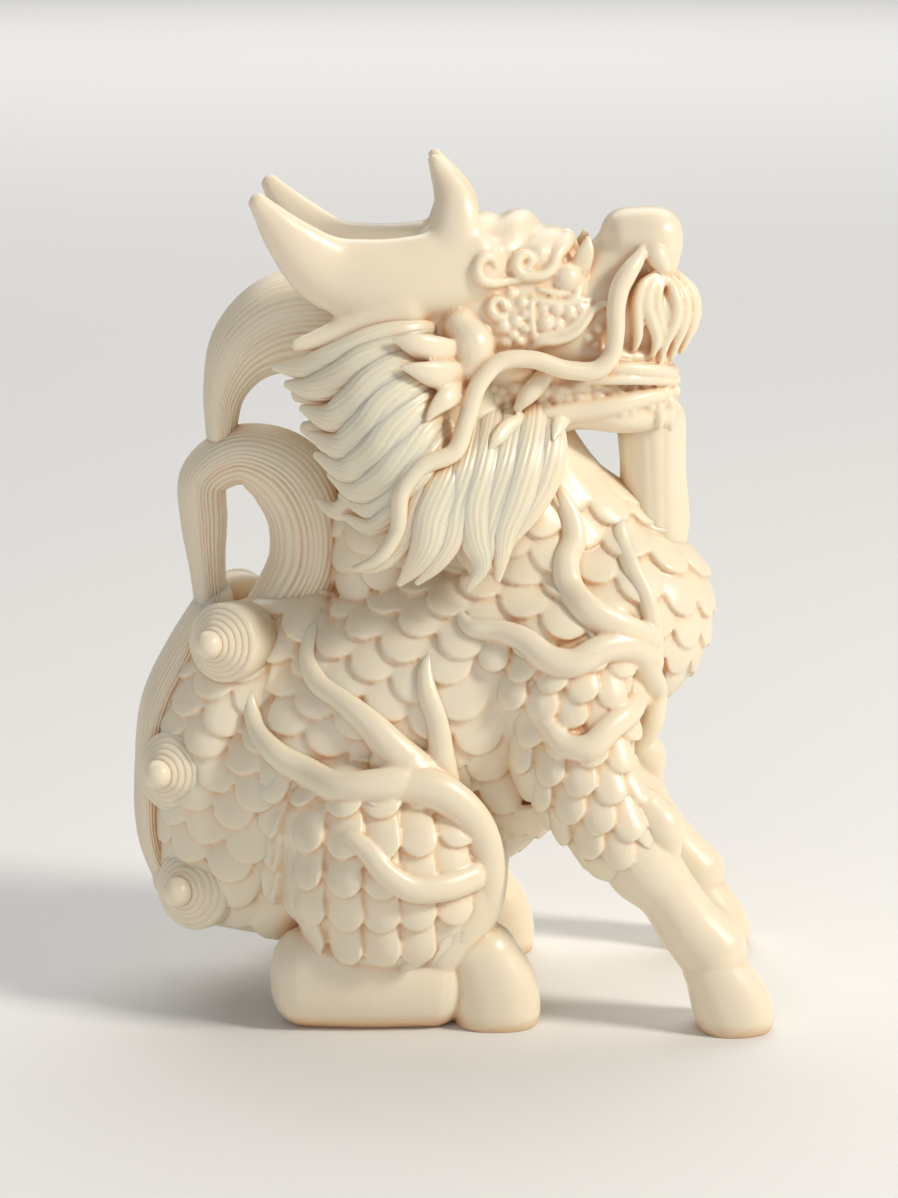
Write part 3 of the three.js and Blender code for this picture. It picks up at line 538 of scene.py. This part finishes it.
def fused(name, forms, voxel, rounds):
    """Fuse closed forms into one skin and soften it, as wax does."""
    piece = new_object(name, gathered(forms))
    remesh = piece.modifiers.new("fuse", "REMESH")
    remesh.mode = "VOXEL"
    remesh.voxel_size = voxel
    smooth = piece.modifiers.new("soften", "SMOOTH")
    smooth.iterations = rounds
    smooth.factor = 0.5
    settle(piece)
    return piece


def thinned(piece):
    """Leave out triangles where the surface is even, until few enough are left."""
    most = MOST_TRIANGLES[piece.name]
    triangles = sum(len(face.vertices) - 2 for face in piece.data.polygons)
    if triangles > most:
        modifier = piece.modifiers.new("thin", "DECIMATE")
        modifier.ratio = most / triangles
        settle(piece)
    return piece


def without_crumbs(piece):
    """Leave out loose crumbs, such as the bubbles that fusing leaves inside a form."""
    carving = bmesh.new()
    carving.from_mesh(piece.data)
    left = set(carving.faces)
    crumbs = []
    while left:
        part = [left.pop()]
        for face in part:
            for edge in face.edges:
                for neighbour in edge.link_faces:
                    if neighbour in left:
                        left.remove(neighbour)
                        part.append(neighbour)
        if len(part) < CRUMB_FACES:
            crumbs += part
    bmesh.ops.delete(carving, geom=crumbs, context="FACES")
    carving.to_mesh(piece.data)
    carving.free()
    return piece


def base_of(name, forms, rounds):
    """The plain form under the carving, and its surface to lay the carving on."""
    piece = fused(name, forms, BASE_VOXEL, rounds)
    form = form_of(piece)
    bpy.data.objects.remove(piece)
    return form, BVHTree.FromPolygons(form[0].tolist(), form[1].tolist())


def laid_on(tree, stops, lift=0.35):
    """Put [x, z, radius] stops on the surface, seen from the animal's right side."""
    out = 8
    laid = []
    for x, z, radius in stops:
        spot = tree.ray_cast(Vector((x, -FAR, z)), Vector((0, 1, 0)))[0]
        out = -spot.y if spot and -spot.y > 0 else out
        laid.append([x, out + lift * radius, z, radius])
    return laid


def straightened(x, z):
    """From the side view to the frame in which the rows of scales are level."""
    return (x * math.cos(ROW_TILT) - z * math.sin(ROW_TILT), x * math.sin(ROW_TILT) + z * math.cos(ROW_TILT))


def tilted(x, z):
    return (x * math.cos(ROW_TILT) + z * math.sin(ROW_TILT), -x * math.sin(ROW_TILT) + z * math.cos(ROW_TILT))


def inside(outline, x, z):
    """Is the point inside the outline, in the side view?"""
    odd = False
    for (ax, az), (bx, bz) in zip(outline, outline[1:] + outline[:1]):
        if (az > z) != (bz > z) and x < (bx - ax) * (z - az) / (bz - az) + ax:
            odd = not odd
    return odd


def scale(tree, centre, normal, down, width, length, lift, crown=0.3, lean=0.0):
    """One scale: a tongue with a thick round free edge, bent over the surface under it.

    It rises to the lift at its tip, is domed by the crown, and leans up by the lean towards its side.
    """
    side = normal.cross(down).normalized()
    half = 0.5 * width
    straight = length - half
    stations = [(straight * part, half) for part in (0, 0.35, 0.7)]
    turns = np.linspace(0, math.pi / 2, 8)
    stations += [(straight + half * math.sin(turn), half * math.cos(turn) + 0.02) for turn in turns]
    top = []
    bottom = []
    for along, reach in stations:
        for across in np.sin(np.linspace(-math.pi / 2, math.pi / 2, SCALE_COLUMNS)):
            offset = reach * across
            spot = centre + side * offset + down * (along - 0.5 * length)
            near, facing = tree.find_nearest(spot)[:2]
            rim = (offset / half) ** 2 + (max(0.0, along - straight) / half) ** 2
            height = SCALE_ROOT + (lift - SCALE_ROOT) * along / length
            height += crown * max(0.0, 1 - rim) + lean * offset / half
            top.append(near + facing * height)
            bottom.append(near - facing * 1.2)
    return plate(np.array(top), np.array(bottom), SCALE_COLUMNS, len(stations))


def plate(top, bottom, columns, rows):
    """A closed plate between two grids of points."""
    points = np.concatenate([top, bottom])
    under = columns * rows
    corner = (np.arange(rows - 1)[:, None] * columns + np.arange(columns - 1)).ravel()
    faces = [np.stack([corner, corner + 1, corner + columns + 1], 1)]
    faces.append(np.stack([corner, corner + columns + 1, corner + columns], 1))
    faces += [face[:, ::-1] + under for face in faces[:2]]
    rim = [*range(columns), *range(2 * columns - 1, under, columns)]
    rim += [*range(under - 2, under - columns - 1, -1), *range(under - 2 * columns, 0, -columns)]
    rim = np.array(rim)
    after = np.roll(rim, -1)
    faces.append(np.stack([rim, after + under, after], 1))
    faces.append(np.stack([rim, rim + under, after + under], 1))
    return outward(points, np.concatenate(faces))


def along_surface(direction, normal):
    return (direction - normal * direction.dot(normal)).normalized()


def row_outline(tree, height):
    """The outline of the right half of the body in one sloping row, from the breast to the back."""
    middle = BODY_MIDDLE + (height - BODY_MIDDLE_HEIGHT) * BODY_MIDDLE_SLOPE
    spots = []
    for angle in np.linspace(0, math.pi, 181):
        away = Vector((math.cos(angle), 0))
        start = tilted(middle + away.x * FAR, height)
        goal = tilted(middle, height)
        source = Vector((start[0], -math.sin(angle) * FAR, start[1]))
        toward = Vector((goal[0], 0, goal[1])) - source
        spot = tree.ray_cast(source, toward.normalized())[0]
        if spot is not None:
            spots.append(spot)
    return np.array(spots)


def trunk_scales(tree):
    """Staggered scales in sloping rows round the trunk, the neck and the rump."""
    down = Vector((-math.sin(ROW_TILT), 0, -math.cos(ROW_TILT)))
    forms = []
    for row in TRUNK_ROWS:
        height = ANCHOR[1] - row * ROW_STEP
        outline = row_outline(tree, height)
        if len(outline) < 20:
            continue
        reach = np.concatenate([[0], np.cumsum(np.linalg.norm(np.diff(outline, axis=0), axis=1))])
        level = np.array([straightened(x, z)[0] for x, y, z in outline])
        anchor = ANCHOR[0] + row * COLUMN_LEAN + (row % 2) * SCALE_STEP / 2
        start = np.interp(-anchor, -level, reach) % SCALE_STEP
        for at in np.arange(start, reach[-1], SCALE_STEP):
            centre = Vector([np.interp(at, reach, outline[:, axis]) for axis in range(3)])
            if is_trunk(centre):
                normal = tree.find_nearest(centre)[1]
                forms.append(scale(tree, centre, normal, along_surface(down, normal), **TRUNK_SCALE))
    return forms


def is_trunk(spot):
    if spot.y < -7 and (inside(THIGH_OUTLINE, spot.x, spot.z) or inside(SHOULDER_OUTLINE, spot.x, spot.z)):
        return False
    under_mane = spot.x < MANE_EDGE[0] and spot.z > MANE_EDGE[1]
    return not under_mane and spot.z > LOWEST_SCALE


def thigh_scales(tree):
    """Upright columns of scales on the thigh, dipping in the middle."""
    forms = []
    for column in range(-3, 5):
        for row in range(-3, 5):
            x = THIGH_ANCHOR[0] + column * THIGH_STEP[0]
            dip = 1 - ((x + 10) / 13) ** 2
            z = THIGH_ANCHOR[1] - row * THIGH_STEP[1] + 1 - dip
            spot, normal = tree.ray_cast(Vector((x, -FAR, z)), Vector((0, 1, 0)))[:2]
            if spot is not None and inside(THIGH_OUTLINE, x, z - 1.5):
                down = along_surface(Vector((0.08, 0, -1)), normal)
                forms.append(scale(tree, spot, normal, down, **THIGH_SCALE))
    return forms


def shoulder_scales(tree):
    forms = []
    for column in range(-6, 7):
        for row in range(-6, 6):
            x = SHOULDER_ANCHOR[0] + column * SHOULDER_ALONG[0] + row * SHOULDER_DOWN[0]
            z = SHOULDER_ANCHOR[1] + column * SHOULDER_ALONG[1] + row * SHOULDER_DOWN[1]
            spot, normal = tree.ray_cast(Vector((x, -FAR, z)), Vector((0, 1, 0)))[:2]
            if spot is not None and inside(SHOULDER_OUTLINE, x, z):
                down = along_surface(Vector((0.05, 0, -1)), normal)
                forms.append(scale(tree, spot, normal, down, **SHOULDER_SCALE))
    return forms


def breast_plates(tree):
    """Broad plates down the middle of the breast."""
    forms = []
    for z in np.arange(BREAST_TOP, BREAST_FOOT, -BREAST_STEP):
        spot, normal = tree.ray_cast(Vector((FAR, 0, z)), Vector((-1, 0, 0)))[:2]
        if spot is not None:
            down = along_surface(Vector((0, 0, -1)), normal)
            forms.append(scale(tree, spot, normal, down, **BREAST_PLATE))
    return forms


def curl(ball, radius):
    """A snail curl: a low cone with fine rings, and a ball in its middle."""
    x, out, z = ball
    bead = CURL_BALL * radius
    profile = [(radius, -1.6 * radius)]
    for part in np.linspace(0, 1, 60):
        ridge = 0.2 * abs(math.sin(part * 5 * math.pi)) ** 0.7
        profile.append((radius - (radius - 0.9 * bead) * part, radius * (0.5 * part - 0.6) + ridge))
    for turn in np.linspace(-0.3, math.pi / 2, 14):
        profile.append((bead * max(math.cos(turn), TUBE_TIP), bead * math.sin(turn)))
    side = CURL_AXIS.cross(Vector((0, 0, 1))).normalized()
    up = side.cross(CURL_AXIS)
    angles = np.linspace(0, 2 * math.pi, 52, endpoint=False)
    circle = np.cos(angles)[:, None] * np.array(side) + np.sin(angles)[:, None] * np.array(up)
    middle = np.array((x, -out, z))
    axis = np.array(CURL_AXIS)
    return skin_of(np.array([middle + axis * height + circle * spread for spread, height in profile]))


def flame(stops):
    """A flat tongue of flame with a rounded back."""
    return sweep([[x, out, z, radius, FLAME_FLATNESS * radius] for x, out, z, radius in stops], 20, 0.35)


def body_base():
    """The plain form of the body, on which the scales and flames are laid."""
    trunk = [sweep(stops, 40) for stops in (TORSO, BELLY, SPINE, RUMP, NECK, NAPE, THROAT)]
    limbs = [sweep(stops) for stops in (THIGH, SHOULDER, UPPER_ARM)]
    return base_of("base", [*trunk, *both(limbs)], 10)


def grounded(piece):
    """Flatten the soles on the ground."""
    for vertex in piece.data.vertices:
        vertex.co.z = max(vertex.co.z, 0)
    return piece


def make_trunk():
    forms = [BODY_FORM, *both(trunk_scales(BODY_TREE)), *breast_plates(BODY_TREE)]
    return fused("trunk_with_scales", forms, BODY_VOXEL, 1)


def make_hind_quarters():
    flames = [flame(HIND_STEM), *[flame(laid_on(BODY_TREE, stops, FLAME_LIFT)) for stops in HIND_FLAMES]]
    leg = [sweep(stops) for stops in (THIGH, HIND_SHIN)]
    leg += [sweep(stops, 40, square=FOOT_SQUARENESS) for stops in (HIND_FOOT, HIND_HOOF)]
    forms = both([*leg, *flames, *thigh_scales(BODY_TREE)])
    return grounded(fused("hind_quarters", forms, BODY_VOXEL, 1))


def make_fore_quarters():
    flames = [flame(laid_on(BODY_TREE, stops, FLAME_LIFT)) for stops in FRONT_FLAMES]
    leg = [sweep(stops) for stops in (UPPER_ARM, FORELEG, KNEE)]
    leg.append(sweep(FORE_HOOF, 40, square=FOOT_SQUARENESS))
    forms = both([*leg, *flames, *shoulder_scales(BODY_TREE)])
    return grounded(fused("fore_quarters", forms, BODY_VOXEL, 1))


def make_head():
    middle = [sweep(stops, 40) for stops in (SKULL, CROWN, SNOUT, BRIDGE, MUZZLE, UPPER_LIP, GUM)]
    middle += [sweep(stops, 48, square=0.82) for stops in (NOSE, NOSE_TIP, LOWER_JAW)]
    tufts = [rope(stops, 24) for stops in CROWN_TUFTS]
    sides = [sweep(stops) for stops in (ANTLER_BEAM, ANTLER_TOP_TINE, ANTLER_LOW_TINE)]
    base, tree = base_of("base", [*middle, *both([*sides, *tufts])], 6)
    ropes = [WHISKER, *MOUSTACHE, FANG, *TEETH, CHEEK, NOSTRIL_WING, *UPPER_LIP_BANDS, LOWER_LIP]
    forms = [rope(stops) for stops in ropes]
    forms += [rope(stops, flat=0.55) for stops in (FRILL, *JAW_LEAVES, *CHEEK_LEAVES)]
    forms += [rope(laid_on(tree, stops)) for stops in FACE_RIDGES]
    for x, out, z, radius in laid_on(tree, [EYE, *FACE_LUMPS, *gum_lumps()], -0.3):
        forms.append(ball((x, out, z), radius))
    return fused("head_and_antlers", [base, *both(forms)], HEAD_VOXEL, 2)


def gum_lumps():
    """Uneven lumps along the inside of the mouth, in the order in which they are drawn."""
    chance = random.Random(7)
    lumps = []
    for x in np.arange(4.5, 28, 1.3):
        for height in (76.2, 77.4, 78.6, 79.8):
            rise = max(0, x - 14) * 0.1
            along = x + chance.uniform(-0.5, 0.5)
            level = height + rise + chance.uniform(-0.3, 0.3)
            lumps.append([along, level, chance.uniform(0.6, 1)])
    return lumps


def lock(stops):
    """A lock of hair, broad in the side view and flatter across."""
    broad = [[x, out, z, half, max(LOCK_FLATNESS * half, 0.3)] for x, out, z, half in stops]
    return sweep(broad, 90, HAIR_STEP, strands(18, 0.3, 2.2))


def make_mane():
    crest = sweep(CREST, 240, HAIR_STEP, strands(48, 0.36, 6))
    return new_object("mane", gathered([crest, *both([lock(stops) for stops in MANE_LOCKS])]))


def make_beard():
    goatee = sweep(GOATEE, 96, HAIR_STEP, strands(16, 0.16, 4.5))
    return new_object("beard", gathered([goatee, *both([lock(stops) for stops in BEARD_LOCKS])]))


def make_tail():
    ring = sweep(TAIL_RING, 200, HAIR_STEP, strands(40, 0.34, 4.2))
    back = sweep(BACK_HAIR, 200, HAIR_STEP, strands(40, 0.34, 4))
    curls = [curl(**settings) for settings in CURLS]
    return new_object("tail_and_curls", gathered([ring, back, *both(curls)]))


def ivory():
    """Cream-coloured carving material: soft, slightly see-through, with painted warm shade in the hollows and
    grooves.
    """
    material = bpy.data.materials.new("ivory")
    material.use_nodes = True
    nodes, links = material.node_tree.nodes, material.node_tree.links
    shader = nodes["Principled BSDF"]
    shader.inputs["Subsurface Weight"].default_value = 0.35
    shader.inputs["Subsurface Radius"].default_value = (1.0, 0.62, 0.36)
    shader.inputs["Subsurface Scale"].default_value = 0.0022
    shader.inputs["Specular IOR Level"].default_value = 0.5
    shader.inputs["IOR"].default_value = 1.5
    # Painted shade: ambient occlusion turns the colour a darker orange in hollows and creases, where shade
    # and warm glow fall
    hollow_shade = nodes.new("ShaderNodeAmbientOcclusion")
    hollow_shade.samples = 8
    hollow_shade.inputs["Distance"].default_value = 0.003
    ramp = nodes.new("ShaderNodeValToRGB")
    ramp.color_ramp.elements[0].position = 0.15
    ramp.color_ramp.elements[0].color = (0.72, 0.44, 0.22, 1)
    ramp.color_ramp.elements[1].position = 0.85
    ramp.color_ramp.elements[1].color = (0.86, 0.76, 0.58, 1)
    links.new(hollow_shade.outputs["AO"], ramp.inputs["Fac"])
    # Painted shade: pointiness turns the colour a darker orange in the fine grooves of the hair and the
    # carving
    shape = nodes.new("ShaderNodeNewGeometry")
    groove = nodes.new("ShaderNodeValToRGB")
    groove.color_ramp.elements[0].position = 0.42
    groove.color_ramp.elements[0].color = (0.9, 0.66, 0.46, 1)
    groove.color_ramp.elements[1].position = 0.5
    groove.color_ramp.elements[1].color = (1, 1, 1, 1)
    links.new(shape.outputs["Pointiness"], groove.inputs["Fac"])
    # The painted shade of the hollows and of the grooves is multiplied into the base colour
    colour_with_painted_shade = nodes.new("ShaderNodeMix")
    colour_with_painted_shade.data_type = "RGBA"
    colour_with_painted_shade.blend_type = "MULTIPLY"
    colour_with_painted_shade.inputs["Factor"].default_value = 1
    links.new(ramp.outputs["Color"], colour_with_painted_shade.inputs["A"])
    links.new(groove.outputs["Color"], colour_with_painted_shade.inputs["B"])
    links.new(colour_with_painted_shade.outputs["Result"], shader.inputs["Base Color"])
    place = nodes.new("ShaderNodeTexCoord")
    grain = nodes.new("ShaderNodeTexNoise")
    grain.inputs["Scale"].default_value = 900
    grain.inputs["Detail"].default_value = 4
    links.new(place.outputs["Object"], grain.inputs["Vector"])
    gloss = nodes.new("ShaderNodeMapRange")
    gloss.inputs["To Min"].default_value = 0.26
    gloss.inputs["To Max"].default_value = 0.42
    links.new(grain.outputs["Fac"], gloss.inputs["Value"])
    links.new(gloss.outputs["Result"], shader.inputs["Roughness"])
    bump = nodes.new("ShaderNodeBump")
    bump.inputs["Strength"].default_value = 0.12
    bump.inputs["Distance"].default_value = 0.0001
    links.new(grain.outputs["Fac"], bump.inputs["Height"])
    links.new(bump.outputs["Normal"], shader.inputs["Normal"])
    return material


def finish_piece(piece, material):
    piece.data.transform(Matrix.Scale(MILLIMETRE, 4))
    piece.data.materials.clear()
    piece.data.materials.append(material)
    for face in piece.data.polygons:
        face.use_smooth = True
    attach(piece, "root")
    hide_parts(NODE)


def add_floor():
    bpy.ops.mesh.primitive_plane_add(size=30, location=(0, 0, 0))
    floor = bpy.context.object
    floor.name = "floor"
    material = bpy.data.materials.new("pale_floor")
    material.use_nodes = True
    shader = material.node_tree.nodes["Principled BSDF"]
    shader.inputs["Base Color"].default_value = (0.82, 0.81, 0.79, 1)
    shader.inputs["Roughness"].default_value = 0.8
    floor.data.materials.append(material)


def add_light(name, place, goal, size, power, colour):
    data = bpy.data.lights.new(name, "AREA")
    data.size = size
    data.energy = power
    data.color = colour
    lamp = bpy.data.objects.new(name, data)
    lamp.location = place
    lamp.rotation_euler = (Vector(goal) - Vector(place)).to_track_quat("-Z", "Y").to_euler()
    bpy.context.scene.collection.objects.link(lamp)


def add_studio():
    world = bpy.data.worlds.new("studio")
    world.use_nodes = True
    world.node_tree.nodes["Background"].inputs["Color"].default_value = (0.95, 0.96, 1, 1)
    world.node_tree.nodes["Background"].inputs["Strength"].default_value = 0.2
    bpy.context.scene.world = world
    bpy.context.scene.view_settings.view_transform = "Standard"
    add_light("key", (0.62, -0.26, 0.52), (0, 0, 0.05), 0.16, 5, (1, 0.95, 0.86))
    add_light("fill", (-0.3, -0.8, 0.35), (0, 0, 0.05), 0.6, 1.6, (0.92, 0.94, 1))
    add_light("backdrop", (0, 2.8, 2.6), (0, 2.8, 0), 4, 105, (1, 0.99, 0.97))


def add_camera():
    data = bpy.data.cameras.new("camera")
    data.lens = CAMERA_LENS
    data.sensor_width = 36
    data.clip_start = 0.01
    camera = bpy.data.objects.new("camera", data)
    aim = Vector((0, 0, CAMERA_AIM))
    away = Vector((0, -math.cos(CAMERA_ELEVATION), math.sin(CAMERA_ELEVATION)))
    camera.location = aim + away * CAMERA_DISTANCE
    camera.rotation_euler = (-away).to_track_quat("-Z", "Y").to_euler()
    bpy.context.scene.collection.objects.link(camera)
    bpy.context.scene.camera = camera


material = ivory()
BODY_FORM, BODY_TREE = body_base()
body_makers = (make_trunk, make_hind_quarters, make_fore_quarters, make_head)
hair_makers = (make_mane, make_beard, make_tail)
for make in (*body_makers, *hair_makers):
    finish_piece(without_crumbs(thinned(make())), material)
add_floor()
add_studio()
add_camera()
